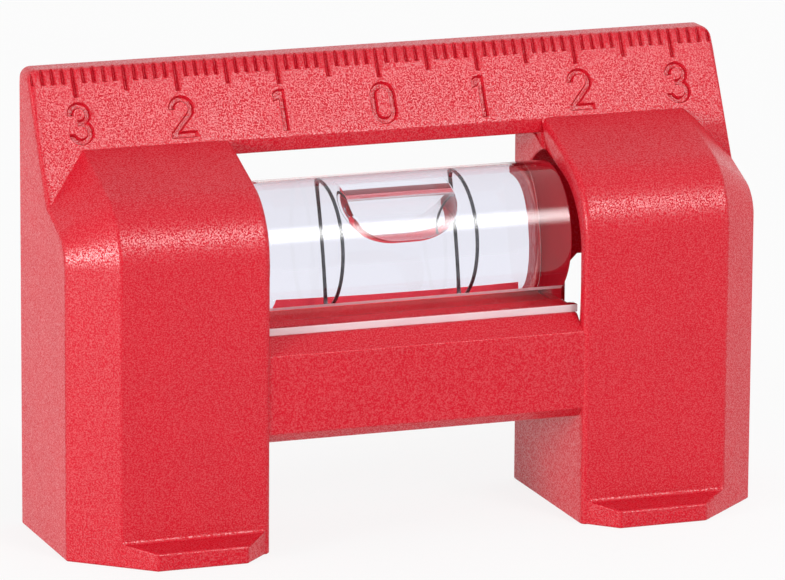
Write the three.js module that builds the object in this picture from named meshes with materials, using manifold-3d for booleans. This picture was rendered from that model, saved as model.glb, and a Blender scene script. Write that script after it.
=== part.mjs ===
// Mini spirit level: a moulded plastic body with a slanted millimetre ruler and a clear acrylic vial.
// Millimetres, +X to the right, +Y to the back, +Z up. The origin is on the surface that the level
// stands on, at the centre of its footprint.
import * as THREE from "three";
import { mergeVertices } from "three/addons/utils/BufferGeometryUtils.js";
import Module from "manifold-3d";

// Body, outside
const bodyWidth = 68.8;
const windowWidth = 31.2;
const archHeight = 10.4;
const crossbarHeight = 10;
const overrun = 12;

// Front of the posts: a vertical face, a round nose and a slope up to the ruler
const noseRadius = 7;
const slopeFall = THREE.MathUtils.degToRad(21);
const outerChamferRun = 4.25;
const outerChamferDepth = 3.75;
const innerEdgeRadius = 0.6;

// Ruler
const rulerHeight = 8.5;
const rulerLand = 2.66;
const rulerLean = THREE.MathUtils.degToRad(27.2);
const bridgeFaceHeight = 1.46;
const rulerCornerRadius = 1;

// Crossbar
const crossbarSetback = 0.25;
const crossbarTopBevel = 1.55;
const crossbarBottomChamfer = 1.05;

// Lips on the feet
const lipReach = 2.41;
const lipFrontHeight = 1.71;
const lipRootHeight = 2.15;
const lipRootRadius = 0.45;

// Walls of the moulding
const wall = 1.8;
const socketFrontWall = 1.25;
const socketRoofWall = 2.1;
const socketBend = 7;
const socketClearance = 0.95;
const backWall = 1.96;
const cheekRise = 0.3;
const backOpeningRise = 2.1;
const backOpeningInset = 4.4;
const gussetLeg = 1.2;

// Vial
const vialRadius = 6.45;
const vialFrontGap = 2.05;
const vialFootRise = 0.35;
const vialHeadroom = 2.05;
const vialEndClearance = 0.25;
const blockInset = 2.4;
const plateMargin = 0.05;
const plateThickness = 0.75;
const tabReach = 0.65;
const tabDepth = 1;
const seatGap = 0.05;

// Bore of the vial and what is in it
const vialWall = 2.05;
const barrelRise = 0.12;
const endWall = 1.6;
const plugLength = 2.9;
const plugClearance = 0.1;
const ringSpacing = 13.4;
const ringWidth = 0.35;
const ringClearance = 0.15;
const ringThickness = 0.3;
const fluidGap = 0.3;
const bubbleToRing = 1;
const bubbleDepth = 2.3;
const bubbleSideGap = 0.4;
const bubbleRound = 0.5;

// Counts of facets
const noseFacets = 10;
const smallFacets = 3;
const boreFacets = 48;
const barrelFacets = 8;

// Places that follow from the sizes
const halfWidth = bodyWidth / 2;
const halfWindow = windowWidth / 2;
const socketRadius = vialRadius + socketClearance;
const bodyDepth = vialFrontGap + vialRadius + socketRadius + backWall;
const frontY = (lipReach - bodyDepth) / 2;
const backY = frontY + bodyDepth;
const crossbarTop = archHeight + crossbarHeight;
const vialY = frontY + vialFrontGap + vialRadius;
const vialZ = crossbarTop + vialFootRise + vialRadius;
const windowTop = vialZ + vialRadius + vialHeadroom;
const rulerTop = windowTop + rulerHeight;
const rulerFootZ = windowTop + bridgeFaceHeight;
const rulerFrontY = backY - rulerLand;
const rulerFootY = rulerFrontY - (rulerTop - rulerFootZ) * Math.tan(rulerLean);
const socketRearY = backY - backWall;
const socketFloor = crossbarTop - wall;
const vialRight = halfWindow - cheekRise - vialEndClearance;
const vialLeft = -vialRight;
const boreLeft = vialLeft + endWall;
const boreRight = vialRight - plugLength;
const boreLength = boreRight - boreLeft;
const boreX = (boreLeft + boreRight) / 2;
const boreRadius = vialRadius - vialWall;
const ringOuter = boreRadius - ringClearance;
const ringInner = ringOuter - ringThickness;
const fluidRadius = ringInner - fluidGap;
const bubbleLength = ringSpacing - 2 * bubbleToRing;
const bubbleRise = fluidRadius - bubbleDepth;
const bubbleFloor = vialZ + bubbleRise;

const wasm = await Module();
wasm.setup();

// A closed geometry as a solid that can be joined and cut.
function solid(geometry) {
  const bare = geometry.index ? geometry.toNonIndexed() : geometry.clone();
  bare.deleteAttribute("normal");
  bare.deleteAttribute("uv");
  const merged = mergeVertices(bare);
  const vertProperties = merged.attributes.position.array;
  const triVerts = new Uint32Array(merged.index.array);
  return new wasm.Manifold(new wasm.Mesh({ numProp: 3, vertProperties, triVerts }));
}

// A joined or cut solid as a flat-shaded geometry.
function geometryOf(made) {
  const { numProp, vertProperties, triVerts } = made.getMesh();
  const points = new THREE.InterleavedBuffer(vertProperties, numProp);
  const indexed = new THREE.BufferGeometry();
  indexed.setAttribute("position", new THREE.InterleavedBufferAttribute(points, 3, 0));
  indexed.setIndex(new THREE.BufferAttribute(triVerts, 1));
  const geometry = indexed.toNonIndexed();
  geometry.computeVertexNormals();
  return geometry;
}

const axisX = new THREE.Vector3(1, 0, 0);
const axisY = new THREE.Vector3(0, 1, 0);
const axisZ = new THREE.Vector3(0, 0, 1);

// A side profile, drawn in (Y, Z), run along X between two places. A bevel takes in both its ends.
function alongX(shape, fromX, toX, bevel = {}) {
  const { run = 0, depth = 0, segments = 1 } = bevel;
  const geometry = new THREE.ExtrudeGeometry(shape, {
    depth: toX - fromX - 2 * run,
    bevelEnabled: run > 0,
    bevelThickness: run,
    bevelSize: depth,
    bevelOffset: -depth,
    bevelSegments: segments,
    curveSegments: noseFacets,
  });
  geometry.translate(0, 0, fromX + run);
  return geometry.applyMatrix4(new THREE.Matrix4().makeBasis(axisY, axisZ, axisX));
}

// A front view, drawn in (X, Z), run along Y between two places.
function alongY(shape, fromY, toY) {
  const settings = { depth: toY - fromY, bevelEnabled: false, curveSegments: noseFacets };
  const geometry = new THREE.ExtrudeGeometry(shape, settings).translate(0, 0, -toY);
  return geometry.applyMatrix4(new THREE.Matrix4().makeBasis(axisX, axisZ, axisY.clone().negate()));
}

// A plan, drawn in (X, Y), run up along Z between two places.
function alongZ(shape, fromZ, toZ) {
  const settings = { depth: toZ - fromZ, bevelEnabled: false, curveSegments: noseFacets };
  return new THREE.ExtrudeGeometry(shape, settings).translate(0, 0, fromZ);
}

// A box between two corners.
function block(low, high) {
  const size = new THREE.Vector3().subVectors(high, low);
  const middle = new THREE.Vector3().addVectors(low, high).divideScalar(2);
  return new THREE.BoxGeometry(size.x, size.y, size.z).translate(middle.x, middle.y, middle.z);
}

const at = (x, y, z) => new THREE.Vector3(x, y, z);
const outline = (...points) => new THREE.Shape(points.map(([u, v]) => new THREE.Vector2(u, v)));

// A solid and its mirror image in the plane X = 0.
const pair = (half) => half.add(half.mirror([1, 0, 0]));

// Height of a line that rises to the back at the slope's angle and passes the given point.
const slopeHeight = (y, throughY, throughZ) => throughZ + (y - throughY) * Math.tan(slopeFall);

// A post's front: up a vertical face, round the nose and up the slope, closed past the back and
// below the feet so that only the front is left when the body is trimmed.
function frontProfile(faceY, radius, throughY, throughZ) {
  const far = backY + overrun;
  const centreY = faceY + radius;
  const centreZ = slopeHeight(centreY, throughY, throughZ) - radius / Math.cos(slopeFall);
  const shape = new THREE.Shape();
  shape.moveTo(faceY, -overrun);
  shape.lineTo(faceY, centreZ);
  shape.absarc(centreY, centreZ, radius, Math.PI, Math.PI / 2 + slopeFall, true);
  shape.lineTo(far, slopeHeight(far, throughY, throughZ));
  shape.lineTo(far, -overrun);
  return shape;
}

// The outside of the posts, across the whole width, with the large chamfer at both ends.
function postsOutside() {
  const front = frontProfile(frontY, noseRadius, rulerFootY, rulerFootZ);
  const chamfer = { run: outerChamferRun, depth: outerChamferDepth };
  const chamfered = solid(alongX(front, -halfWidth, halfWidth, chamfer));
  const edge = { run: innerEdgeRadius, depth: innerEdgeRadius, segments: smallFacets };
  const rounded = solid(alongX(front, halfWindow, halfWidth + overrun, edge));
  return chamfered.intersect(pair(rounded));
}

// The ruler: a wedge across the whole width that leans back to a narrow flat top. Between the
// posts it ends in a short vertical face, and in the posts it runs down inside them.
function ruler() {
  const rootZ = rulerFootZ - noseRadius;
  const rootY = rulerFrontY - (rulerTop - rootZ) * Math.tan(rulerLean);
  const section = outline(
    [rootY, rootZ],
    [backY, rootZ],
    [backY, rulerTop],
    [rulerFrontY, rulerTop],
  );
  return solid(alongX(section, -halfWidth, halfWidth));
}

// Everything between the posts, from the arch under the crossbar to the slope of the ruler.
function spaceBetweenPosts() {
  const under = outline(
    [frontY - overrun, -overrun],
    [backY + overrun, -overrun],
    [backY + overrun, windowTop],
    [rulerFootY, windowTop],
    [rulerFootY, rulerTop + overrun],
    [frontY - overrun, rulerTop + overrun],
  );
  return solid(alongX(under, -halfWindow, halfWindow));
}

// The bar that carries the vial, bevelled along its top front edge and chamfered underneath.
function crossbar() {
  const faceY = frontY + crossbarSetback;
  const section = outline(
    [faceY + crossbarBottomChamfer, archHeight],
    [backY, archHeight],
    [backY, crossbarTop],
    [faceY + crossbarTopBevel, crossbarTop],
    [faceY, crossbarTop - crossbarTopBevel],
    [faceY, archHeight + crossbarBottomChamfer],
  );
  return solid(alongX(section, -halfWindow - wall, halfWindow + wall));
}

// The right foot's lip: a low tongue with slanted ends and a rounded root.
function lip() {
  const tipY = frontY - lipReach;
  const rootY = frontY + innerEdgeRadius;
  const innerTipX = halfWindow + innerEdgeRadius + lipReach;
  const chamferX = halfWidth - outerChamferRun;
  const outerTipX = chamferX - (lipReach * outerChamferRun) / outerChamferDepth;
  const plan = outline(
    [halfWindow, rootY],
    [innerTipX, tipY],
    [outerTipX, tipY],
    [chamferX, frontY],
    [chamferX, rootY],
  );
  const side = new THREE.Shape();
  side.moveTo(tipY, 0);
  side.lineTo(rootY, 0);
  side.lineTo(rootY, lipRootHeight + lipRootRadius);
  side.lineTo(frontY, lipRootHeight + lipRootRadius);
  side.absarc(frontY - lipRootRadius, lipRootHeight + lipRootRadius, lipRootRadius, 0, -Math.PI / 2, true);
  side.lineTo(tipY, lipFrontHeight);
  const flat = solid(alongZ(plan, 0, lipRootHeight + lipRootRadius));
  return flat.intersect(solid(alongX(side, halfWindow, halfWidth)));
}

// The outline of the space inside a post, seen from the side: it follows the front at the wall's
// thickness and goes round the vial at the back, where the wall behind the vial is.
function socketSpace(fromX, toX) {
  const faceY = frontY + socketFrontWall;
  const roofZ = rulerFootZ - socketRoofWall / Math.cos(slopeFall);
  const front = solid(alongX(frontProfile(faceY, socketBend, rulerFootY, roofZ), fromX, toX));
  const rear = new THREE.Shape();
  rear.moveTo(vialY, vialZ + socketRadius);
  rear.lineTo(faceY - overrun, vialZ + socketRadius);
  rear.lineTo(faceY - overrun, wall);
  rear.lineTo(socketRearY, wall);
  rear.lineTo(socketRearY, vialZ);
  rear.absarc(vialY, vialZ, socketRadius, 0, Math.PI / 2, false);
  return front.intersect(solid(alongX(rear, fromX, toX)));
}

// The right post's hollow: the socket round the vial's end, open to the window, and the space
// below it, open to the back through a window with two small gussets.
function postHollow() {
  const innerX = halfWindow + wall;
  const outerX = halfWidth - wall;
  const faceY = frontY + socketFrontWall;
  const roofZ = rulerFootZ - socketRoofWall / Math.cos(slopeFall);
  const inside = frontProfile(faceY, socketBend, rulerFootY, roofZ);
  const chamfer = { run: outerChamferRun, depth: outerChamferDepth };
  const chamfered = solid(alongX(inside, -outerX, outerX, chamfer));
  const socket = socketSpace(halfWindow - overrun, outerX).intersect(chamfered);
  const innerWall = block(
    at(halfWindow - overrun, frontY - overrun, -overrun),
    at(innerX, backY + overrun, socketFloor),
  );
  const windowSide = block(
    at(-halfWindow, frontY - overrun, -overrun),
    at(halfWindow, backY + overrun, crossbarTop),
  );
  const openingTop = crossbarTop + backOpeningRise;
  const openingX = halfWindow + backOpeningInset;
  const opening = outline(
    [openingX, wall],
    [outerX, wall],
    [outerX, openingTop - gussetLeg],
    [outerX - gussetLeg, openingTop],
    [openingX + gussetLeg, openingTop],
    [openingX, openingTop - gussetLeg],
  );
  const mouth = solid(alongY(opening, vialY, backY + overrun));
  return socket.subtract(solid(innerWall)).subtract(solid(windowSide)).add(mouth);
}

// The raised cheek on the inner wall behind the vial.
function cheek() {
  const roofZ = rulerFootZ - socketRoofWall / Math.cos(slopeFall);
  const faceZ = slopeHeight(vialY, rulerFootY, roofZ);
  const topY = vialY + (windowTop - faceZ) / Math.tan(slopeFall);
  const section = outline(
    [vialY, crossbarTop - wall],
    [backY, crossbarTop - wall],
    [backY, windowTop + bridgeFaceHeight],
    [topY, windowTop + bridgeFaceHeight],
    [topY, windowTop],
    [vialY, faceZ],
  );
  return solid(alongX(section, halfWindow - cheekRise, halfWindow + wall));
}

// The crossbar's hollow, open to the back.
function crossbarHollow() {
  const low = at(-halfWindow + wall, frontY + crossbarSetback + wall, archHeight + wall);
  const high = at(halfWindow - wall, backY + overrun, crossbarTop - wall);
  return solid(block(low, high));
}

// The front view that trims the body: square feet, and small rounds at the ruler's top corners.
function trim() {
  const turn = halfWidth - rulerCornerRadius;
  const turnZ = rulerTop - rulerCornerRadius;
  const view = new THREE.Shape();
  view.moveTo(-halfWidth, 0);
  view.lineTo(halfWidth, 0);
  view.lineTo(halfWidth, turnZ);
  view.absarc(turn, turnZ, rulerCornerRadius, 0, Math.PI / 2, false);
  view.lineTo(-turn, rulerTop);
  view.absarc(-turn, turnZ, rulerCornerRadius, Math.PI / 2, Math.PI, false);
  return solid(alongY(view, frontY - lipReach, backY));
}

// The body: one moulding.
function body() {
  const outside = postsOutside().add(ruler()).subtract(spaceBetweenPosts());
  const joined = outside.add(crossbar()).add(pair(lip())).add(pair(cheek()));
  const hollows = pair(postHollow()).add(crossbarHollow());
  return joined.subtract(hollows).intersect(trim());
}

// A round bar along X, with its facets at the same angles as the bore's.
function roundBar(radius, fromX, toX) {
  const bar = new THREE.CylinderGeometry(radius, radius, toX - fromX, boreFacets);
  return bar.rotateZ(-Math.PI / 2).translate((fromX + toX) / 2, vialY, vialZ);
}

// A profile of (radius, X) points turned round the vial's axis.
function turned(points) {
  const profile = points.map(([radius, x]) => new THREE.Vector2(radius, x));
  const geometry = new THREE.LatheGeometry(profile, boreFacets);
  return geometry.rotateZ(-Math.PI / 2).translate(0, vialY, vialZ);
}

// The bore: barrel-shaped between the end wall and the plug, so that the bubble comes to rest in
// the middle, and plain where the plug goes in.
function bore() {
  const points = [[0, boreLeft]];
  for (let i = 0; i <= barrelFacets; i++) {
    const x = boreLeft + (boreLength * i) / barrelFacets;
    const share = (2 * (x - boreX)) / boreLength;
    points.push([boreRadius - barrelRise * share * share, x]);
  }
  points.push([boreRadius, boreRight]);
  points.push([boreRadius, vialRight + overrun]);
  points.push([0, vialRight + overrun]);
  return solid(turned(points));
}

// The clear vial: a round barrel that runs down into a flat-sided block on a thin base plate with
// a small tab at each corner.
function vialBlock() {
  const blockHalf = vialRadius - blockInset;
  const plateHalf = vialRadius + plateMargin;
  const plateFloor = crossbarTop + seatGap;
  const plateTop = crossbarTop + plateThickness;
  const barrel = solid(roundBar(vialRadius, vialLeft, vialRight));
  const flat = solid(block(
    at(vialLeft, vialY - blockHalf, plateFloor),
    at(vialRight, vialY + blockHalf, vialZ),
  ));
  const plate = solid(block(
    at(vialLeft, vialY - plateHalf, plateFloor),
    at(vialRight, vialY + plateHalf, plateTop),
  ));
  const tabs = [vialY - plateHalf, vialY + plateHalf - tabDepth].map((y) => solid(block(
    at(vialLeft - tabReach, y, plateFloor),
    at(vialRight + tabReach, y + tabDepth, plateTop),
  )));
  return barrel.add(flat).add(plate).add(tabs[0]).add(tabs[1]).subtract(bore());
}

// The clear disc that closes the bore, flush with the vial's right end.
function vialPlug() {
  return solid(roundBar(boreRadius - plugClearance, boreRight, vialRight));
}

// One of the two rings that the bubble is read against.
function ring(side) {
  const middle = boreX + (side * ringSpacing) / 2;
  const left = middle - ringWidth / 2;
  const right = middle + ringWidth / 2;
  const section = [[ringInner, left], [ringOuter, left], [ringOuter, right], [ringInner, right]];
  return solid(turned([...section, section[0]]));
}

// The liquid, up to the level of the bubble's underside.
function vialLiquid() {
  const filled = solid(roundBar(fluidRadius, boreLeft + fluidGap, boreRight - fluidGap));
  const channel = block(
    at(boreLeft - overrun, vialY - overrun, bubbleFloor - fluidGap),
    at(boreRight + overrun, vialY + overrun, vialZ + overrun),
  );
  return filled.subtract(solid(channel));
}

// The bubble: a long drop with round ends, flat below and following the bore above.
function bubble() {
  const end = Math.sqrt(fluidRadius ** 2 - bubbleRise ** 2) - bubbleSideGap;
  const half = bubbleLength / 2;
  const plan = new THREE.Shape();
  plan.moveTo(end - half, -end);
  plan.lineTo(half - end, -end);
  plan.absarc(half - end, 0, end, -Math.PI / 2, Math.PI / 2, false);
  plan.lineTo(end - half, end);
  plan.absarc(end - half, 0, end, Math.PI / 2, (3 * Math.PI) / 2, false);
  const drop = new THREE.ExtrudeGeometry(plan, {
    depth: bubbleDepth,
    bevelThickness: bubbleRound,
    bevelSize: bubbleRound,
    bevelOffset: -bubbleRound,
    bevelSegments: smallFacets,
    curveSegments: noseFacets,
  });
  drop.translate(boreX, vialY, bubbleFloor + bubbleRound);
  return solid(drop).intersect(solid(roundBar(fluidRadius, vialLeft, vialRight)));
}

const redPlastic = () => new THREE.MeshStandardMaterial({ color: 0xd02336, roughness: 0.45, metalness: 0 });
const clearAcrylic = () => new THREE.MeshStandardMaterial({ color: 0xf2f4f8, roughness: 0.05, metalness: 0 });
const darkRing = () => new THREE.MeshStandardMaterial({ color: 0x33363a, roughness: 0.4, metalness: 0 });
const clearLiquid = () => new THREE.MeshStandardMaterial({ color: 0xe8ecf4, roughness: 0.05, metalness: 0 });
const air = () => new THREE.MeshStandardMaterial({ color: 0xffffff, roughness: 0.05, metalness: 0 });

const level = new THREE.Group();

function place(name, made, material) {
  const mesh = new THREE.Mesh(geometryOf(made), material);
  mesh.name = name;
  level.add(mesh);
}

place("body", body(), redPlastic());
place("vial_block", vialBlock(), clearAcrylic());
place("vial_plug", vialPlug(), clearAcrylic());
place("ring_left", ring(-1), darkRing());
place("ring_right", ring(1), darkRing());
place("vial_liquid", vialLiquid(), clearLiquid());
place("bubble", bubble(), air());

export default level;
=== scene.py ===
"""Looks of a mini spirit level: a moulded red body with a ruler on its crest and a clear vial on its
crossbar. The pieces are worked out in millimetres and finished in metres."""

import math
import types

import bmesh
import bpy
from bpy.props import FloatProperty, FloatVectorProperty, IntProperty, PointerProperty
from mathutils import Matrix, Vector


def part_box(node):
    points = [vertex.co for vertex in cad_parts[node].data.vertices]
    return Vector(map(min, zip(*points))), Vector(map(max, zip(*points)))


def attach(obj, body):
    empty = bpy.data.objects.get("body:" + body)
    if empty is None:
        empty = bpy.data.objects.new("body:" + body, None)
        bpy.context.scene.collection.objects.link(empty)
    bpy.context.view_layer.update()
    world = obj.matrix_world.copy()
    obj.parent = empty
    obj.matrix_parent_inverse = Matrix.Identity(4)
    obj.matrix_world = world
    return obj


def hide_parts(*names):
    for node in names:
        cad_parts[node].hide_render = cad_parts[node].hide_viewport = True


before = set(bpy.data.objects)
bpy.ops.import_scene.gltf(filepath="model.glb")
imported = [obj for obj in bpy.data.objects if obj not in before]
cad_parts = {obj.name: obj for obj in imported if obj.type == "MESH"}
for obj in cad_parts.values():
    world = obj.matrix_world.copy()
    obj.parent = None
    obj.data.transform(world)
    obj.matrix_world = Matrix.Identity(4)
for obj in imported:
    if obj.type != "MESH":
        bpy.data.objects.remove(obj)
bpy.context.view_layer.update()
node_boxes = {name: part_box(name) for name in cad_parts}

bl_info = {
    "name": "Mini spirit level",
    "version": (1, 0, 0),
    "blender": (4, 5, 0),
    "location": "View3D > Sidebar > Level",
    "description": "Builds the finished pieces of a mini spirit level around its frame",
    "category": "Object",
}

MM = 0.001
TO_METRES = Matrix.Scale(MM, 4)
BODY_SHARP = math.radians(35.0)
SHARP = math.radians(40.0)
# Millimetres within which places count as the same, and as close.
SAME = 0.01
CLOSE = 0.05

ACRYLIC_INDEX = 1.49
LIQUID_INDEX = 1.40
AIR_INDEX = 1.0

WHITE = (1.0, 1.0, 1.0, 1.0)
# A lighter, pinker red for painted glints on the plastic's highest grains.
PAINTED_GLINT_RED = (0.85, 0.06, 0.1, 1.0)
# A lighter red than the plastic's own: painted light on the bonded faces of the vial, where little light
# reaches.
PAINTED_LIGHT_RED = (0.97, 0.075, 0.1, 1.0)
ACRYLIC_TINT = (0.97, 0.97, 0.985, 1.0)
# Pale acrylic for a painted highlight on the plate's front edge and under the barrel's front.
PAINTED_HIGHLIGHT_PINK = (0.9, 0.7, 0.74, 1.0)
PAINTED_HIGHLIGHT_WHITE = (0.97, 0.94, 0.97, 1.0)
LIQUID_TINT = (0.86, 0.86, 0.94, 1.0)
RING_BLACK = (0.03, 0.031, 0.036, 1.0)
RING_GREY = (0.09, 0.09, 0.1, 1.0)

LAMP_DISTANCE = 0.9
LEVEL_CENTRE = Vector((0.0, 0.0, 0.022))
# Each soft lamp's azimuth, elevation and half width in degrees, and its radiance.
SOFT_LAMPS = {"key": (22.0, 31.0, 17.5, 14.0), "left": (-70.0, 8.0, 16.0, 26.0)}
# Each patch of light in the room: its azimuth, elevation and half widths in degrees, and its strength.
ROOM_PATCHES = (
    (15.0, 0.0, (50.0, 25.0), 0.33),
    (180.0, 10.0, (70.0, 45.0), 0.9),
    (100.0, 5.0, (35.0, 30.0), 1.3),
    (0.0, 80.0, (50.0, 50.0), 0.6),
)
ROOM_GLOW = 0.12


def low(node):
    """Lowest corner of a frame node, in millimetres."""
    return node_boxes[node][0] / MM


def high(node):
    """Highest corner of a frame node, in millimetres."""
    return node_boxes[node][1] / MM


def middle(node):
    """Centre of a frame node's box, in millimetres."""
    return (low(node) + high(node)) / 2


def vial_axis():
    """Depth and height of the vial's axis, in millimetres."""
    return middle("vial_plug").yz


def length(name, description, millimetres, **limits):
    """A size, with its default in millimetres."""
    return FloatProperty(
        name=name, description=description, default=millimetres * MM, unit="LENGTH", precision=5, **limits
    )


def angle(name, description, degrees):
    """An angle, with its default in degrees."""
    return FloatProperty(name=name, description=description, default=math.radians(degrees), subtype="ANGLE")


def in_millimetres(group):
    """The values of a property group, its lengths in millimetres."""
    values = {}
    for name, kind in group.bl_rna.properties.items():
        if name not in ("rna_type", "name"):
            value = getattr(group, name)
            values[name] = value / MM if kind.unit == "LENGTH" else value
    return types.SimpleNamespace(**values)


class BodyLook(bpy.types.PropertyGroup):
    edge_round: length("Edge round", "Round on the body's edges", 0.2, min=0.0)
    ruler_round: length("Ruler round", "Round on the ruler's ends", 0.5, min=0.0)
    crest_round: length("Crest round", "Round on the ruler's top front edge", 0.22, min=0.0)
    lip_round: length("Lip round", "Round on the lips of the feet", 0.22, min=0.0)
    colour: FloatVectorProperty(
        name="Plastic",
        description="Colour of the moulded plastic",
        subtype="COLOR",
        default=(0.56, 0.004, 0.017),
    )
    grain: length("Grain", "Size of the spark texture's grains", 0.14, min=0.0)
    grain_depth: length("Grain depth", "Height of the spark texture", 0.06)
    roughness: FloatProperty(
        name="Roughness", description="Roughness of the plastic", default=0.4, min=0.0, max=1.0
    )


class ScaleLook(bpy.types.PropertyGroup):
    reach: IntProperty(name="Reach", description="Last millimetre mark on each side of zero", default=34)
    lean: angle("Lean", "Angle that the ruler leans back by", 27.2)
    foot_y: length("Foot Y", "Place of the ruler face's lower edge", 3.857)
    foot_z: length("Foot Z", "Height of the ruler face's lower edge", 37.16)
    mark_width: length("Mark width", "Width of a mark", 0.62)
    depth: length("Depth", "Depth of the marks and numerals", 0.36)
    mark_slant: length("Mark slant", "Width of a mark's sloped wall", 0.3)
    slant: length("Slant", "Width of a numeral's sloped wall", 0.19)
    numeral_rise: length("Numeral rise", "Gap under the numerals on the ruler face", 0.45)


class VialLook(bpy.types.PropertyGroup):
    radius: length("Radius", "Radius of the barrel", 6.45)
    block_half: length("Block", "Half of the block's depth", 4.05)
    plate_height: length("Plate", "Height of the base plate", 0.7)
    tab_reach: length("Tab reach", "How far the base plate's tabs stick out", 0.65)
    tab_depth: length("Tab depth", "Depth of a tab, front to back", 1.0)
    edge_round: length("Edge round", "Round on the vial's edges", 0.12)
    bond_drop: length("Bond drop", "How far below the vial's axis the bonded back begins", 3.5)
    bore_left: length("Bore left", "Left end of the bore", -13.45)
    bore_right: length("Bore right", "Right end of the bore", 12.15)
    bore_radius: length("Bore", "Radius of the bore at its middle", 4.4)
    bore_waist: length("Barrel", "How much narrower the bore is at its ends", 0.12)
    ring_width: length("Ring width", "Width of a ring", 0.33)
    ring_thickness: length("Ring thickness", "Thickness of a ring", 0.28)


class BubbleLook(bpy.types.PropertyGroup):
    half_length: length("Half length", "Half of the bubble's length", 5.8)
    end_round: length("End round", "How far the bubble's rounded ends reach", 4.8)
    half_width: length("Half width", "Half of the bubble's width before the bore trims it", 5.6)
    half_height: length("Half height", "Half of the bubble's height before the bore trims it", 2.8)
    drop: length("Drop", "How far the bubble's middle lies below the bore's top", 1.65)


class StageLook(bpy.types.PropertyGroup):
    yaw: angle("Yaw", "Turn of the camera", 20.451)
    pitch: angle("Pitch", "Tilt of the camera", 13.645)
    roll: angle("Roll", "Roll of the camera", 0.451)
    distance: length("Distance", "Camera to the level", 613.278)
    focal: FloatProperty(name="Focal", description="Focal length in picture widths", default=6519.144 / 785)
    shift: FloatVectorProperty(
        name="Shift",
        description="Shift of the picture in picture widths",
        size=2,
        default=(-0.018766, 0.010266),
    )
    floor_colour: FloatVectorProperty(
        name="Floor", description="Colour of the floor", subtype="COLOR", default=(0.84, 0.84, 0.84)
    )


class Wire:
    """An output socket. Arithmetic on it adds Math nodes to its tree."""

    def __init__(self, finish, socket):
        self.finish = finish
        self.socket = socket

    def math(self, operation, *values):
        """The result of one Math node."""
        return self.finish.add("ShaderNodeMath", {"operation": operation}, dict(enumerate(values)))

    def __add__(self, other):
        return self.math("ADD", self, other)

    def __sub__(self, other):
        return self.math("SUBTRACT", self, other)

    def __rsub__(self, other):
        return self.math("SUBTRACT", other, self)

    def __mul__(self, other):
        return self.math("MULTIPLY", self, other)

    def __truediv__(self, other):
        return self.math("DIVIDE", self, other)

    __radd__ = __add__
    __rmul__ = __mul__

    def exponential(self):
        """The number e to the power of this value."""
        return self.math("EXPONENT", self)

    def clamped(self):
        """This value held between 0 and 1."""
        return self.finish.add("ShaderNodeClamp", {}, {"Value": self})


class Finish:
    """A node tree under construction, of a material or of the world."""

    def __init__(self, owner):
        owner.use_nodes = True
        self.owner = owner
        self.tree = owner.node_tree
        self.tree.nodes.clear()

    def add(self, kind, settings, values, output=0):
        """One node: its settings first, then the values or links of its inputs."""
        node = self.tree.nodes.new(kind)
        for name, value in settings.items():
            setattr(node, name, value)
        for key, value in values.items():
            if isinstance(value, Wire):
                self.tree.links.new(value.socket, node.inputs[key])
            else:
                node.inputs[key].default_value = value
        return Wire(self, node.outputs[output]) if node.outputs else None

    def place(self):
        """The point's own place on the piece, in metres."""
        return self.add("ShaderNodeTexCoord", {}, {}, "Object")

    def noise(self, width, detail=2.0, roughness=0.5, offset=(0.0, 0.0, 0.0)):
        """Noise whose grains are about so many millimetres wide."""
        spot = self.add("ShaderNodeMapping", {}, {"Vector": self.place(), "Location": offset})
        values = {"Vector": spot, "Scale": 1.0 / (width * MM), "Detail": detail, "Roughness": roughness}
        return self.add("ShaderNodeTexNoise", {}, values, "Fac")

    def mix_colour(self, share, first, second):
        """A colour between two others."""
        values = {0: share, 6: first, 7: second}
        return self.add("ShaderNodeMix", {"data_type": "RGBA"}, values, 2)

    def bump(self, height, depth, strength=1.0):
        """A bump whose height runs over so many millimetres."""
        values = {"Height": height, "Distance": depth * MM, "Strength": strength}
        return self.add("ShaderNodeBump", {}, values, "Normal")

    def surface(self, values):
        """A Principled surface as the tree's result."""
        shader = self.add("ShaderNodeBsdfPrincipled", {}, values)
        self.add("ShaderNodeOutputMaterial", {}, {"Surface": shader})
        return self.owner


def new_finish(name):
    """The empty node tree of a new material."""
    return Finish(bpy.data.materials.new(name))


def rgba(colour, share):
    """A colour made darker or lighter by a factor, with full alpha."""
    return (colour[0] * share, colour[1] * share, colour[2] * share, 1.0)


def moulded_plastic(look):
    """Red plastic with the fine spark texture of its mould, which glints on its highest grains. Those
    grains are also painted a little lighter and pinker, as painted glints.
    """
    contrast, start = 5.0, 2.1
    finish = new_finish("moulded plastic")
    cloud = finish.noise(6.0, detail=3.0)
    grains = finish.noise(look.grain, roughness=0.6)
    peaks = (contrast * grains - start).clamped()
    colour = finish.mix_colour(cloud, rgba(look.colour, 0.95), rgba(look.colour, 1.05))
    # Painted glints: the highest grains a little lighter and pinker.
    colour = finish.mix_colour(peaks * 0.04, colour, PAINTED_GLINT_RED)
    roughness = look.roughness - 0.05 + 0.1 * finish.noise(1.5, offset=(0.1, 0.4, 0.0))
    return finish.surface(
        {
            "Base Color": colour,
            "Roughness": roughness,
            "IOR": 1.5,
            "Specular IOR Level": 0.15,
            "Coat Weight": peaks,
            "Coat Roughness": 0.33,
            "Coat IOR": 1.66,
            "Normal": finish.bump(grains, look.grain_depth),
        }
    )


def clear_acrylic():
    """Clear acrylic, very slightly uneven from its mould."""
    finish = new_finish("clear acrylic")
    swell = finish.noise(5.0, detail=1.0)
    return finish.surface(
        {
            "Base Color": ACRYLIC_TINT,
            "Roughness": 0.012 * finish.noise(0.8, detail=1.0),
            "IOR": ACRYLIC_INDEX,
            "Transmission Weight": 1.0,
            "Normal": finish.bump(swell, depth=0.01, strength=0.3),
        }
    )


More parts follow.
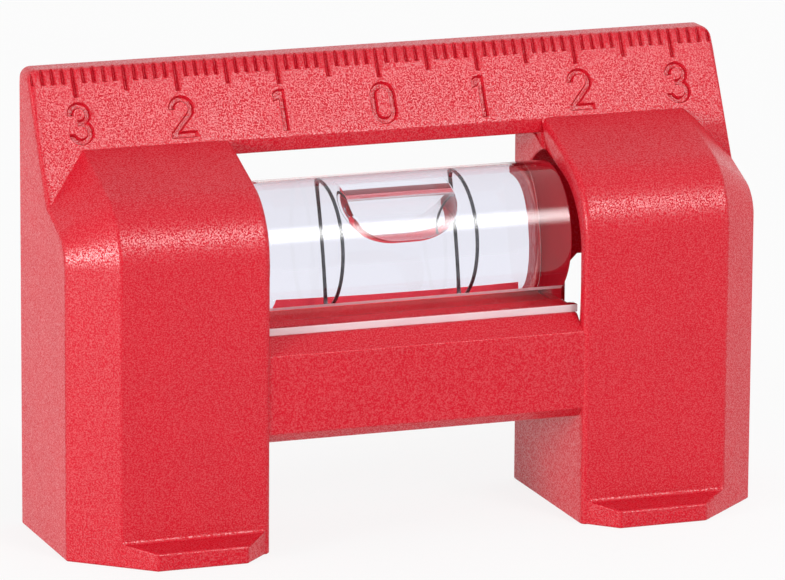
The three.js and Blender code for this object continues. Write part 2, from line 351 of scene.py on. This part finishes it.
def painted_highlight_acrylic():
    """Acrylic paler and duller than a moulded face, part clear and part white: a painted highlight on the
    plate's front edge and along the foot of the barrel's front.
    """
    finish = new_finish("painted highlight acrylic")
    cloud = finish.noise(2.5, detail=3.0)
    return finish.surface(
        {
            "Base Color": finish.mix_colour(cloud, PAINTED_HIGHLIGHT_PINK, PAINTED_HIGHLIGHT_WHITE),
            "Roughness": 0.3 + 0.2 * cloud,
            "IOR": ACRYLIC_INDEX,
            "Transmission Weight": 0.4,
            "Normal": finish.bump(finish.noise(0.4), depth=0.02, strength=0.5),
        }
    )


def bonded_acrylic_painted_light(look):
    """Where the acrylic is bonded to the body: the plastic's red shows, without the gloss of a free face.
    Its red is painted lighter than the plastic's own, as painted light where little light reaches; near the
    right end it is darker, as painted shade."""
    painted_shade_reach, fade = 1.5, 0.5
    finish = new_finish("bonded acrylic with painted light")
    cloud = finish.noise(1.2, detail=3.0)
    along = finish.add("ShaderNodeSeparateXYZ", {}, {0: finish.place()}, "X") / MM
    painted_light_share = ((1.0 / fade) * ((high("vial_block").x - painted_shade_reach) - along)).clamped()
    share = 0.15 * cloud + 0.85 * painted_light_share
    # Painted shade near the right end, painted light elsewhere, with a random tone over both.
    colour = finish.mix_colour(share, rgba(look.colour, 0.4), PAINTED_LIGHT_RED)
    return finish.surface({"Base Color": colour, "Roughness": 0.7 + 0.2 * cloud, "Specular IOR Level": 0.0})


def clear_fill(name, index, tint, swell):
    """A clear fill inside the vial, with swells so many millimetres wide. The index is the ratio of its own
    to that of what lies round it."""
    finish = new_finish(name)
    return finish.surface(
        {
            "Base Color": tint,
            "Roughness": 0.0,
            "IOR": index,
            "Transmission Weight": 1.0,
            "Normal": finish.bump(finish.noise(swell, detail=1.0), depth=0.004, strength=0.2),
        }
    )


def dark_ring():
    """The dark glossy plastic of the rings."""
    finish = new_finish("dark ring")
    shade = finish.noise(0.6)
    return finish.surface(
        {
            "Base Color": finish.mix_colour(shade, RING_BLACK, RING_GREY),
            "Roughness": 0.2 + 0.15 * shade,
            "Metallic": 0.5,
            "Normal": finish.bump(finish.noise(0.2, detail=1.0), depth=0.01, strength=0.5),
        }
    )


def new_object(name, bm):
    """An object in the scene from a bmesh, which is used up."""
    mesh = bpy.data.meshes.new(name)
    bm.to_mesh(mesh)
    bm.free()
    made = bpy.data.objects.new(name, mesh)
    bpy.context.scene.collection.objects.link(made)
    return made


def piece(name, bm, materials, body, nodes):
    """A finished piece from a bmesh in millimetres, which rides on a body in place of frame nodes."""
    bm.transform(TO_METRES)
    made = new_object(name, bm)
    for material in materials:
        made.data.materials.append(material)
    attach(made, body)
    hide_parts(*nodes)
    return made


def modified(made, kind, settings):
    """The mesh of a scratch object with one modifier applied, as a bmesh. The object is removed."""
    modifier = made.modifiers.new(kind.lower(), kind)
    for name, value in settings.items():
        setattr(modifier, name, value)
    graph = bpy.context.evaluated_depsgraph_get()
    mesh = bpy.data.meshes.new_from_object(made.evaluated_get(graph))
    bm = bmesh.new()
    bm.from_mesh(mesh)
    bpy.data.meshes.remove(mesh)
    bpy.data.meshes.remove(made.data)
    return bm


def combined(bm, other, operation):
    """Two closed meshes joined, cut or overlapped."""
    first = new_object("first", bm)
    second = new_object("second", other)
    settings = {"operation": operation, "solver": "MANIFOLD", "object": second}
    result = modified(first, "BOOLEAN", settings)
    bpy.data.meshes.remove(second.data)
    return result


def rounded(bm, width_of, segments):
    """Rounds each edge by the width that a rule gives it."""
    weights = bm.edges.layers.float.new("bevel_weight_edge")
    widths = {edge: width_of(edge) for edge in bm.edges}
    widest = max(widths.values())
    for edge, width in widths.items():
        edge[weights] = width / widest
    settings = {
        "limit_method": "WEIGHT",
        "width": widest,
        "segments": segments,
        "profile": 0.5,
        "use_clamp_overlap": False,
    }
    return modified(new_object("rounding", bm), "BEVEL", settings)


def of_kind(geom, kind):
    """The verts, edges or faces among what an operator returns."""
    return [element for element in geom if isinstance(element, kind)]


def corners_of(faces):
    """The corners of some faces, each once and in the faces' order."""
    return list(dict.fromkeys(vert for face in faces for vert in face.verts))


def drawn_out(bm, faces, vec):
    """Draws flat faces out into closed solids, and returns what was added."""
    added = bmesh.ops.extrude_face_region(bm, geom=faces, use_keep_orig=True)["geom"]
    bmesh.ops.translate(bm, verts=of_kind(added, bmesh.types.BMVert), vec=vec)
    bmesh.ops.recalc_face_normals(bm, faces=bm.faces)
    return added


def full_turn(bm, geom):
    """Turns a profile once round the vial's axis."""
    bmesh.ops.spin(
        bm,
        geom=geom,
        cent=(0.0, *vial_axis()),
        axis=(1.0, 0.0, 0.0),
        angle=2 * math.pi,
        steps=128,
        use_merge=True,
    )


def split_large_faces(bm):
    """Drops slivers and splits faces of many corners, which an export could leave open."""
    bmesh.ops.dissolve_degenerate(bm, dist=0.0005, edges=bm.edges)
    bmesh.ops.triangulate(bm, faces=[face for face in bm.faces if len(face.verts) > 4])


def smooth(bm, sharpest=SHARP):
    """Smooth shading, with edges sharper than an angle kept sharp."""
    for face in bm.faces:
        face.smooth = True
    for edge in bm.edges:
        edge.smooth = edge.calc_face_angle(0.0) < sharpest


def weighted(made):
    """Keeps flat faces flat beside rounded edges."""
    modifier = made.modifiers.new("weighted normals", "WEIGHTED_NORMAL")
    modifier.keep_sharp = True
    modifier.weight = 60


def flat_body():
    """The body node's mesh in millimetres, with its flat faces merged."""
    bm = bmesh.new()
    bm.from_mesh(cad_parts["body"].data)
    bm.transform(TO_METRES.inverted())
    bmesh.ops.remove_doubles(bm, verts=bm.verts, dist=0.002)
    bmesh.ops.dissolve_limit(
        bm,
        angle_limit=math.radians(1.0),
        verts=bm.verts,
        edges=bm.edges,
        use_dissolve_boundaries=False,
        delimit=set(),
    )
    return bm


def body_edge_width(edge, look, scale):
    """Width of the round on an edge of the body: none on inner and blunt edges."""
    lip_reach, shortest, near_rim, near_foot, back_share = 2.39, 0.2, 1.5, 0.5, 0.8
    if edge.calc_face_angle_signed(0.0) < BODY_SHARP:
        return 0.0
    spot = (edge.verts[0].co + edge.verts[1].co) / 2
    top, side = high("body").z, high("body").x
    face_y = scale.foot_y + (spot.z - scale.foot_z) * math.tan(scale.lean)
    if spot.y < low("body").y + lip_reach:
        return 0.0 if edge.calc_length() < shortest else look.lip_round
    if spot.z < scale.foot_z - SAME:
        return look.edge_round
    if abs(spot.y - face_y) < CLOSE:
        if abs(spot.x) > side - near_rim:
            return look.ruler_round
        return look.crest_round if spot.z > top - near_rim else look.edge_round
    return look.ruler_round * back_share if spot.z > scale.foot_z + near_foot else look.edge_round


def ruler_plane(scale):
    """From (along, up, out) on the ruler's face to the level's own frame."""
    lean = scale.lean
    along = Vector((1.0, 0.0, 0.0))
    up = Vector((0.0, math.sin(lean), math.cos(lean)))
    out = Vector((0.0, -math.cos(lean), math.sin(lean)))
    plane = Matrix((along, up, out)).transposed().to_4x4()
    return Matrix.Translation((0.0, scale.foot_y, scale.foot_z)) @ plane


def outline_face(bm, points, height=0.0):
    """One flat face from the points of an outline."""
    return bm.faces.new([bm.verts.new((u, v, height)) for u, v in points])


def groove(bm, faces, scale, slant):
    """Turns flat faces into closed cutters with sloped walls, standing a little proud of the ruler."""
    proud = 0.15
    edge_lift = 0.02
    bmesh.ops.translate(bm, verts=corners_of(faces), vec=(0.0, 0.0, proud))
    sunk = drawn_out(bm, faces, (0.0, 0.0, edge_lift - proud))
    bmesh.ops.inset_region(
        bm,
        faces=of_kind(sunk, bmesh.types.BMFace),
        thickness=slant,
        depth=scale.depth + edge_lift,
        use_even_offset=True,
        use_boundary=True,
    )
    bmesh.ops.recalc_face_normals(bm, faces=bm.faces)


def arc(centre, radius, start, end, steps):
    """Points on an arc, from one angle to another in degrees."""
    turn = [math.radians(start + (end - start) * i / steps) for i in range(steps + 1)]
    return [(centre[0] + radius * math.cos(a), centre[1] + radius * math.sin(a)) for a in turn]


def numeral_one():
    """A stem with a short curved flag."""
    flag = arc((-0.3, 3.5), 0.66, 110.0, 180.0, 6)
    return [(0.34, 0.0), (0.34, 4.16), (-0.35, 4.16), *flag[1:], (-0.96, 2.86), (-0.34, 3.1), (-0.34, 0.0)]


def numeral_two():
    """A bowl, a straight diagonal and a foot."""
    turn = -43.0
    outer = arc((0.0, 2.9), 1.3, 185.0, turn, 22)
    inner = arc((0.0, 2.9), 0.6, turn, 191.0, 18)
    foot = [(-0.25, 0.72), (1.28, 0.72), (1.28, 0.0), (-1.3, 0.0), (-1.3, 0.62)]
    return [*outer, *foot, *inner]


def numeral_three():
    """Two bowls that meet in a short bar."""
    upper, lower = (0.0, 3.0), (0.0, 1.27)
    points = arc(upper, 1.2, 187.7, -44.0, 20)
    points += arc(lower, 1.27, 44.0, -173.5, 20)
    points += arc(lower, 0.57, 194.0, 450.0, 20)
    points += [(-0.28, 1.84), (-0.28, 2.49)]
    points += arc(upper, 0.51, 270.0, 558.0, 20)
    return points


def numeral_zero(bm):
    """A long ring: a straight side up, half a turn, a straight side down and half a turn."""
    inner, outer = 0.58, 1.3
    low_centre, high_centre = 1.3, 2.9
    side = 1.6
    before = set(bm.faces)
    edges = [bm.edges.new([bm.verts.new((reach, low_centre, 0.0)) for reach in (inner, outer)])]
    for rise, centre in ((side, high_centre), (-side, low_centre)):
        drawn = bmesh.ops.extrude_edge_only(bm, edges=edges)["geom"]
        moved = of_kind(drawn, bmesh.types.BMVert)
        bmesh.ops.translate(bm, verts=moved, vec=(0.0, rise, 0.0))
        turn = bmesh.ops.spin(
            bm,
            geom=of_kind(drawn, bmesh.types.BMEdge) + moved,
            cent=(0.0, centre, 0.0),
            axis=(0.0, 0.0, 1.0),
            angle=math.pi,
            steps=16,
        )
        edges = of_kind(turn["geom_last"], bmesh.types.BMEdge)
    added = [face for face in bm.faces if face not in before]
    bmesh.ops.remove_doubles(bm, verts=corners_of(added), dist=0.001)


def numeral_faces(bm, digit, centre):
    """The flat face or faces of a numeral, with its middle on its centimetre mark."""
    before = set(bm.faces)
    if digit == 0:
        numeral_zero(bm)
    else:
        outline_face(bm, {1: numeral_one, 2: numeral_two, 3: numeral_three}[digit]())
    faces = [face for face in bm.faces if face not in before]
    bmesh.ops.translate(bm, verts=corners_of(faces), vec=(centre, 0.0, 0.0))
    return faces


def marks_cutter(scale):
    """All the millimetre marks, which run out over the ruler's top edge."""
    long_mark, middle_mark, short_mark, overrun = 2.9, 2.5, 1.55, 0.8
    bm = bmesh.new()
    face_height = (high("body").z - scale.foot_z) / math.cos(scale.lean)
    half = scale.mark_width / 2
    faces = []
    for place in range(-scale.reach, scale.reach + 1):
        reach = long_mark if place % 10 == 0 else middle_mark if place % 5 == 0 else short_mark
        bottom, top = face_height - reach, face_height + overrun
        corners = [(place - half, bottom), (place + half, bottom), (place + half, top), (place - half, top)]
        faces.append(outline_face(bm, corners))
    groove(bm, faces, scale, scale.mark_slant)
    bm.transform(ruler_plane(scale))
    return bm


def numerals_cutter(scale):
    """The numerals 3 2 1 0 1 2 3, each on its centimetre mark."""
    bm = bmesh.new()
    faces = []
    for number in range(-3, 4):
        faces += numeral_faces(bm, abs(number), 10.0 * number)
    bmesh.ops.translate(bm, verts=bm.verts, vec=(0.0, scale.numeral_rise, 0.0))
    groove(bm, faces, scale, scale.slant)
    bm.transform(ruler_plane(scale))
    return bm


def barrel_and_block(look):
    """The vial's round barrel, which runs down into a flat-sided block."""
    inside_plate = 0.2
    axis_y, axis_z = vial_axis()
    left = low("vial_block").x + look.tab_reach
    right = high("vial_block").x - look.tab_reach
    floor = low("vial_block").z + inside_plate
    half, radius = look.block_half, look.radius
    shoulder_z = axis_z - math.sqrt(radius * radius - half * half)
    dip = math.asin(half / radius)
    bm = bmesh.new()
    foot = bm.verts.new((left, axis_y + half, floor))
    shoulder = bm.verts.new((left, axis_y + half, shoulder_z))
    bm.edges.new((foot, shoulder))
    turn = bmesh.ops.spin(
        bm,
        geom=[shoulder],
        cent=(left, axis_y, axis_z),
        axis=(1.0, 0.0, 0.0),
        angle=2 * (math.pi - dip),
        steps=110,
    )
    last = turn["geom_last"][0]
    other_foot = bm.verts.new((left, axis_y - half, floor))
    bm.edges.new((last, other_foot))
    bm.edges.new((other_foot, foot))
    bmesh.ops.remove_doubles(bm, verts=bm.verts, dist=0.001)
    end = bmesh.ops.contextual_create(bm, geom=list(bm.edges))["faces"]
    drawn_out(bm, end, (right - left, 0.0, 0.0))
    return bm


def plate_with_tabs(look, floor, top_z):
    """The vial's base plate as one outline with a tab at each corner, drawn up from the floor."""
    bottom, top = low("vial_block"), high("vial_block")
    left, right = bottom.x + look.tab_reach, top.x - look.tab_reach
    front, back = bottom.y + look.tab_depth, top.y - look.tab_depth
    outline = [
        (bottom.x, bottom.y),
        (top.x, bottom.y),
        (top.x, front),
        (right, front),
        (right, back),
        (top.x, back),
        (top.x, top.y),
        (bottom.x, top.y),
        (bottom.x, back),
        (left, back),
        (left, front),
        (bottom.x, front),
    ]
    bm = bmesh.new()
    drawn_out(bm, [outline_face(bm, outline, floor)], (0.0, 0.0, top_z - floor))
    return bm


def vial_skin(look):
    """The outside of the vial: barrel, block and base plate with its tabs as one closed skin. The plate
    reaches just under the top of the crossbar, so that no gap shows."""
    sunk = 0.07
    bottom = low("vial_block").z
    plate = plate_with_tabs(look, bottom - sunk, bottom + look.plate_height)
    bm = combined(barrel_and_block(look), plate, "UNION")
    bm = rounded(bm, lambda edge: look.edge_round if edge.calc_face_angle_signed(0.0) > SHARP else 0.0, 2)
    split_large_faces(bm)
    return bm


def bonded_faces(bm, look):
    """Gives the second material to the skin's underside, right end and low back, which are bonded. The
    third, a painted highlight, goes to the plate's front edge and to a line under the front of the barrel."""
    straight, mostly, partly, steeply = 0.99, 0.9, 0.3, 0.72
    front_y = low("vial_block").y
    end_x = high("vial_block").x - look.tab_reach
    plate_top = low("vial_block").z + look.plate_height
    bond_top = middle("vial_plug").z - look.bond_drop
    for face in bm.faces:
        spot, normal = face.calc_center_median(), face.normal
        at_end = normal.x > straight and abs(spot.x - end_x) < SAME and spot.z > plate_top
        low_back = normal.y > partly and spot.z < bond_top
        # The plate's front edge and a line under the barrel's front get a painted highlight.
        plate_front_highlight = normal.y < -mostly and spot.z < plate_top and spot.y < front_y + CLOSE
        barrel_foot_highlight = normal.y < -partly and normal.z < -steeply and spot.z > plate_top
        if at_end or low_back or normal.z < -straight:
            face.material_index = 1
        elif plate_front_highlight or barrel_foot_highlight:
            face.material_index = 2


def bore_radius_at(look, x):
    """Radius of the barrel-shaped bore at a place along it."""
    centre = (look.bore_left + look.bore_right) / 2
    share = (x - centre) / (look.bore_right - centre)
    return look.bore_radius - look.bore_waist * share * share


def filled_bore(look, shrink):
    """The bore as a solid, made narrower by so much all round: a profile turned round the vial's axis."""
    steps = 16
    reach = look.bore_right - look.bore_left
    places = [look.bore_left + reach * step / steps for step in range(steps + 1)]
    wall = [(x, bore_radius_at(look, x) - shrink) for x in places]
    axis_y, axis_z = vial_axis()
    bm = bmesh.new()
    profile = [(look.bore_left, 0.0), *wall, (look.bore_right, 0.0)]
    chain = [bm.verts.new((x, axis_y, axis_z + radius)) for x, radius in profile]
    edges = [bm.edges.new(pair) for pair in zip(chain, chain[1:])]
    full_turn(bm, chain + edges)
    bmesh.ops.remove_doubles(bm, verts=bm.verts, dist=0.0005)
    bmesh.ops.recalc_face_normals(bm, faces=bm.faces)
    return bm


def drop(vial, look):
    """The bubble: a long drop under the top of the bore, trimmed so that it passes inside the rings."""
    clearance = 0.38
    axis_y, axis_z = vial_axis()
    height = axis_z + vial.bore_radius - look.drop
    bm = bmesh.new()
    size = Matrix.Diagonal((look.end_round, look.half_width, look.half_height)).to_4x4()
    bmesh.ops.create_uvsphere(bm, u_segments=96, v_segments=64, radius=1.0, matrix=size)
    for side in (-1, 1):
        end = [vert for vert in bm.verts if vert.co.x * side > 0.001]
        bmesh.ops.translate(bm, verts=end, vec=(side * (look.half_length - look.end_round), 0.0, 0.0))
    bmesh.ops.translate(bm, verts=bm.verts, vec=(middle("bubble").x, axis_y, height))
    bm = combined(bm, filled_bore(vial, clearance), "INTERSECT")
    bmesh.ops.remove_doubles(bm, verts=bm.verts, dist=0.004)
    split_large_faces(bm)
    return bm


def turned_ring(node, vial):
    """A ring of near-square section with rounded edges, against the wall of the bore."""
    gap = 0.04
    axis_y, axis_z = vial_axis()
    x = middle(node).x
    left, right = x - vial.ring_width / 2, x + vial.ring_width / 2
    outer = bore_radius_at(vial, x) - gap
    inner = outer - vial.ring_thickness
    corners = [(left, outer), (right, outer), (right, inner), (left, inner)]
    bm = bmesh.new()
    section = bm.faces.new([bm.verts.new((place, axis_y, axis_z + radius)) for place, radius in corners])
    bmesh.ops.bevel(
        bm, geom=list(section.verts), offset=0.07, segments=3, profile=0.5, affect="VERTICES", material=-1
    )
    profile = [*bm.verts, *bm.edges]
    bmesh.ops.delete(bm, geom=list(bm.faces), context="FACES_ONLY")
    full_turn(bm, profile)
    bmesh.ops.recalc_face_normals(bm, faces=bm.faces)
    return bm


class LEVEL_OT_body(bpy.types.Operator):
    """Make the body with rounded edges, and cut the ruler's marks and numerals into it"""

    bl_idname = "level.body"
    bl_label = "Body and ruler"

    def execute(self, context):
        look, scale = in_millimetres(context.scene.level_body), in_millimetres(context.scene.level_scale)
        bm = flat_body()
        bm = rounded(bm, lambda edge: body_edge_width(edge, look, scale), 3)
        bm = combined(bm, marks_cutter(scale), "DIFFERENCE")
        bm = combined(bm, numerals_cutter(scale), "DIFFERENCE")
        split_large_faces(bm)
        smooth(bm, BODY_SHARP)
        weighted(piece("body_moulding", bm, [moulded_plastic(look)], "level", ["body"]))
        return {"FINISHED"}


class LEVEL_OT_vial(bpy.types.Operator):
    """Make the clear vial, with red where it is bonded to the body"""

    bl_idname = "level.vial"
    bl_label = "Vial"

    def execute(self, context):
        vial, body = in_millimetres(context.scene.level_vial), in_millimetres(context.scene.level_body)
        bm = vial_skin(vial)
        smooth(bm)
        bonded_faces(bm, vial)
        materials = [clear_acrylic(), bonded_acrylic_painted_light(body), painted_highlight_acrylic()]
        made = piece("vial", bm, materials, "level", ["vial_block", "vial_plug"])
        made.visible_shadow = False
        weighted(made)
        return {"FINISHED"}


class LEVEL_OT_rings(bpy.types.Operator):
    """Make the two rings that the bubble is read against"""

    bl_idname = "level.rings"
    bl_label = "Rings"

    def execute(self, context):
        material = dark_ring()
        vial = in_millimetres(context.scene.level_vial)
        for node in ("ring_left", "ring_right"):
            bm = turned_ring(node, vial)
            smooth(bm)
            piece(f"reading_{node}", bm, [material], "level", [node])
        return {"FINISHED"}


class LEVEL_OT_liquid(bpy.types.Operator):
    """Fill the bore with liquid and put the bubble in it"""

    bl_idname = "level.liquid"
    bl_label = "Liquid and bubble"

    def execute(self, context):
        gap, straight = 0.01, 0.99
        vial = in_millimetres(context.scene.level_vial)
        bubble_look = in_millimetres(context.scene.level_bubble)
        bm = filled_bore(vial, gap)
        smooth(bm)
        for face in bm.faces:
            face.material_index = 1 if abs(face.normal.x) > straight else 0
        spirit = clear_fill("spirit", LIQUID_INDEX / ACRYLIC_INDEX, LIQUID_TINT, swell=4.0)
        # The bore's two flat ends pass light on without bending it.
        spirit_end = clear_fill("spirit end", 1.0, LIQUID_TINT, swell=4.0)
        liquid = piece("spirit_fill", bm, [spirit, spirit_end], "level", ["vial_liquid"])
        bm = drop(vial, bubble_look)
        smooth(bm)
        air = clear_fill("air in spirit", AIR_INDEX / LIQUID_INDEX, WHITE, swell=3.0)
        bubble = piece("air_bubble", bm, [air], "bubble", ["bubble"])
        liquid.visible_shadow = False
        bubble.visible_shadow = False
        return {"FINISHED"}


def turned_to(azimuth, elevation, distance):
    """A place round the level: azimuth from the front towards the right, in degrees and metres."""
    a, e = math.radians(azimuth), math.radians(elevation)
    return Vector((math.sin(a) * math.cos(e), -math.cos(a) * math.cos(e), math.sin(e))) * distance


def softbox(name, azimuth, elevation, reach, radiance):
    """A square lamp that faces the level and fades from its middle to its edge, so many degrees away."""
    # A radiance of 1 takes so many watts for each square metre of the lamp.
    watts_per_area = 4.0
    lamp = bpy.data.lights.new(name, "AREA")
    lamp.shape = "SQUARE"
    lamp.size = 2 * LAMP_DISTANCE * math.tan(math.radians(reach))
    lamp.energy = watts_per_area * lamp.size * lamp.size * radiance
    finish = Finish(lamp)
    from_middle = 0.0
    for axis in ("X", "Y"):
        spot = finish.add("ShaderNodeNewGeometry", {}, {}, "Parametric")
        along = finish.add("ShaderNodeSeparateXYZ", {}, {0: spot}, axis) - 0.5
        from_middle = 4.0 * along * along + from_middle
    fade = (1.0 - from_middle).clamped()
    glow = finish.add("ShaderNodeEmission", {}, {"Strength": fade * fade * fade})
    finish.add("ShaderNodeOutputLight", {}, {"Surface": glow})
    made = bpy.data.objects.new(name, lamp)
    made.location = LEVEL_CENTRE + turned_to(azimuth, elevation, LAMP_DISTANCE)
    made.rotation_euler = (made.location - LEVEL_CENTRE).to_track_quat("Z", "Y").to_euler()
    made.visible_camera = False
    made.visible_transmission = False
    bpy.context.scene.collection.objects.link(made)


def studio_camera(look):
    """The camera, from the direction that it looks in."""
    camera = bpy.data.cameras.new("camera")
    camera.sensor_width = 36.0
    camera.lens = look.focal * camera.sensor_width
    camera.shift_x, camera.shift_y = look.shift
    camera.clip_start = 0.01
    camera.clip_end = 50.0
    yaw, pitch, roll = look.yaw, look.pitch, look.roll
    ahead = Vector((math.sin(yaw) * math.cos(pitch), math.cos(yaw) * math.cos(pitch), -math.sin(pitch)))
    right = Vector((math.cos(yaw), -math.sin(yaw), 0.0))
    up = right.cross(ahead)
    turned = Matrix.Rotation(-roll, 3, ahead)
    axes = Matrix((turned @ right, turned @ up, -ahead)).transposed()
    made = bpy.data.objects.new("camera", camera)
    target = Vector((0.0, -1.725, 22.0)) * MM
    made.matrix_world = Matrix.Translation(target - ahead * look.distance * MM) @ axes.to_4x4()
    bpy.context.scene.collection.objects.link(made)
    bpy.context.scene.camera = made


def seen_white(finish):
    """1 for rays from the camera, off gloss and through glass, which see a white room; otherwise 0."""
    camera = finish.add("ShaderNodeLightPath", {}, {}, "Is Camera Ray")
    gloss = finish.add("ShaderNodeLightPath", {}, {}, "Is Glossy Ray")
    through = finish.add("ShaderNodeLightPath", {}, {}, "Is Transmission Ray")
    return (camera + gloss + through).clamped()


def studio_floor(look):
    """A plain pale floor that keeps the level's soft shadow. The white glow over it grows from a share
    near the level to all of it further out."""
    near_share, fade_start, fade_width = 0.85, 0.12, 0.5
    bm = bmesh.new()
    bmesh.ops.create_grid(bm, x_segments=4, y_segments=4, size=3.0)
    made = new_object("floor", bm)
    finish = new_finish("floor")
    tone = finish.noise(400.0)
    colour = finish.mix_colour(tone, rgba(look.floor_colour, 0.99), rgba(look.floor_colour, 1.01))
    plain = finish.add("ShaderNodeBsdfDiffuse", {}, {"Color": colour})
    glow = finish.add("ShaderNodeEmission", {}, {"Color": WHITE, "Strength": 1.0})
    away = finish.add("ShaderNodeVectorMath", {"operation": "LENGTH"}, {0: finish.place()}, "Value")
    fade = ((away - fade_start) / fade_width).clamped()
    share = (near_share + (1.0 - near_share) * fade) * seen_white(finish)
    mixed = finish.add("ShaderNodeMixShader", {}, {0: share, 1: plain, 2: glow})
    finish.add("ShaderNodeOutputMaterial", {}, {"Surface": mixed})
    made.data.materials.append(finish.owner)


def room_patch(finish, direction, azimuth, elevation, widths, strength):
    """Light from a soft-edged patch of the room: its middle and half its widths in degrees."""
    edge_steepness = 4.0
    dot = {"operation": "DOT_PRODUCT"}
    ahead = turned_to(azimuth, elevation, 1.0)
    across = Vector((0.0, 0.0, 1.0)).cross(ahead).normalized()
    tilt = ahead.cross(across)
    spread = 1.0
    for axis, width in zip((across, tilt), widths):
        along = finish.add("ShaderNodeVectorMath", dot, {0: direction, 1: axis}, "Value")
        share = along / math.sin(math.radians(width))
        spread = (-1.0 * (share * share)).exponential() * spread
    facing = finish.add("ShaderNodeVectorMath", dot, {0: direction, 1: ahead}, "Value")
    return spread * (facing * edge_steepness).clamped() * strength


def studio_world():
    """A room that looks white behind the level, with soft patches of light round it."""
    world = bpy.data.worlds.new("studio")
    bpy.context.scene.world = world
    finish = Finish(world)
    direction = finish.add("ShaderNodeTexCoord", {}, {}, "Generated")
    first, *others = [room_patch(finish, direction, *patch) for patch in ROOM_PATCHES]
    room = sum(others, first) + ROOM_GLOW
    seen = seen_white(finish)
    strength = seen + (1.0 - seen) * room
    background = finish.add("ShaderNodeBackground", {}, {"Color": WHITE, "Strength": strength})
    finish.add("ShaderNodeOutputWorld", {}, {"Surface": background})


class LEVEL_OT_stage(bpy.types.Operator):
    """Make the camera, the soft lamps, the room and the floor"""

    bl_idname = "level.stage"
    bl_label = "Stage"

    def execute(self, context):
        look = in_millimetres(context.scene.level_stage)
        studio_camera(look)
        studio_floor(look)
        studio_world()
        for name, lamp in SOFT_LAMPS.items():
            softbox(name, *lamp)
        context.scene.view_settings.view_transform = "Standard"
        return {"FINISHED"}


class LEVEL_PT_panel(bpy.types.Panel):
    """The level's pieces and their sizes"""

    bl_idname = "LEVEL_PT_panel"
    bl_label = "Mini spirit level"
    bl_space_type = "VIEW_3D"
    bl_region_type = "UI"
    bl_category = "Level"

    def draw(self, context):
        for group, operators in PANEL_ROWS:
            box = self.layout.box()
            values = getattr(context.scene, group)
            for name in values.bl_rna.properties.keys():
                if name not in ("rna_type", "name"):
                    box.prop(values, name)
            for operator in operators:
                box.operator(operator.bl_idname)


GROUPS = {
    "level_body": BodyLook,
    "level_scale": ScaleLook,
    "level_vial": VialLook,
    "level_bubble": BubbleLook,
    "level_stage": StageLook,
}
PANEL_ROWS = (
    ("level_body", ()),
    ("level_scale", (LEVEL_OT_body,)),
    ("level_vial", (LEVEL_OT_vial, LEVEL_OT_rings)),
    ("level_bubble", (LEVEL_OT_liquid,)),
    ("level_stage", (LEVEL_OT_stage,)),
)
CLASSES = (
    *GROUPS.values(),
    LEVEL_OT_body,
    LEVEL_OT_vial,
    LEVEL_OT_rings,
    LEVEL_OT_liquid,
    LEVEL_OT_stage,
    LEVEL_PT_panel,
)


def register():
    for made in CLASSES:
        bpy.utils.register_class(made)
    for name, group in GROUPS.items():
        setattr(bpy.types.Scene, name, PointerProperty(type=group))


def unregister():
    for name in GROUPS:
        delattr(bpy.types.Scene, name)
    for made in reversed(CLASSES):
        bpy.utils.unregister_class(made)


def main():
    register()
    bpy.ops.level.body()
    bpy.ops.level.vial()
    bpy.ops.level.rings()
    bpy.ops.level.liquid()
    bpy.ops.level.stage()


if __name__ == "__main__":
    main()
